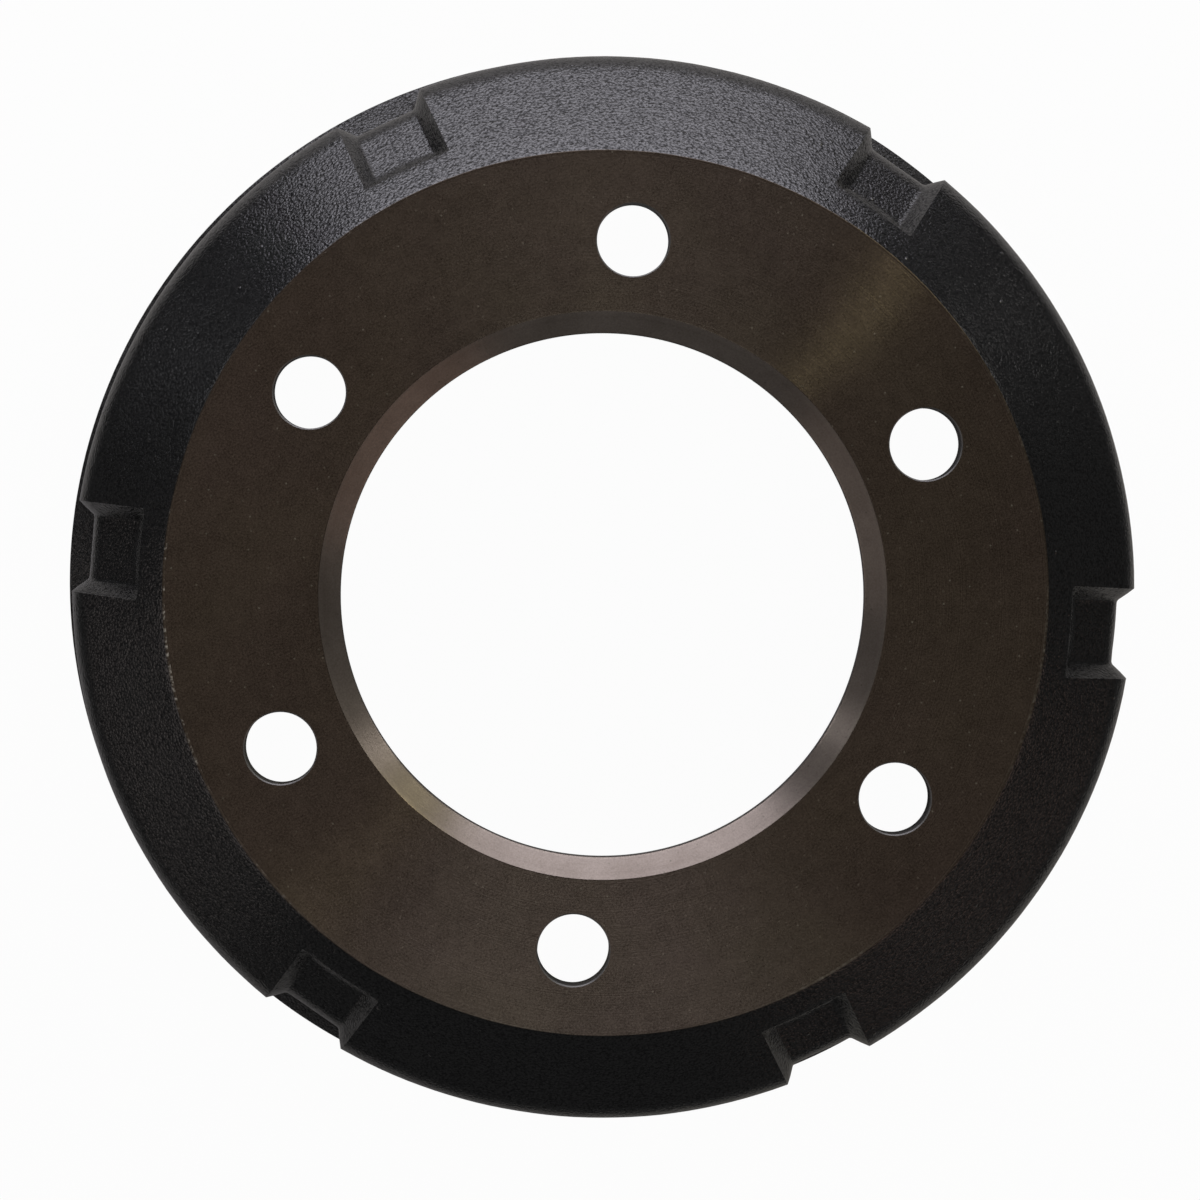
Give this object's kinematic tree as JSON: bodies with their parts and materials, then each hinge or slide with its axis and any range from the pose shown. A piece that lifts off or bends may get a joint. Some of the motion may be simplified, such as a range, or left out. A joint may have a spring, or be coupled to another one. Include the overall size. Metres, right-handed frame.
{
  "type": "brake drum",
  "caption": "Cast iron brake drum with a flat bolted flange, pilot bore, sloping shoulder with cast recesses, and a stiffening band round its open end.",
  "frame": {"origin": "centre of the bolt circle in the hub seat, the machined inner face of the flange", "axes": "+Z along the drum's axis, out of the closed end towards the wheel; +X through the centre of a bolt hole"},
  "size_m": [0.3556, 0.3554, 0.136],
  "materials": {
    "casting": "black paint over the cast skin, with a bare machined outer face gone dark brown"
  },
  "bodies": {
    "root": {"drum": "casting"}
  },
  "joints": []
}
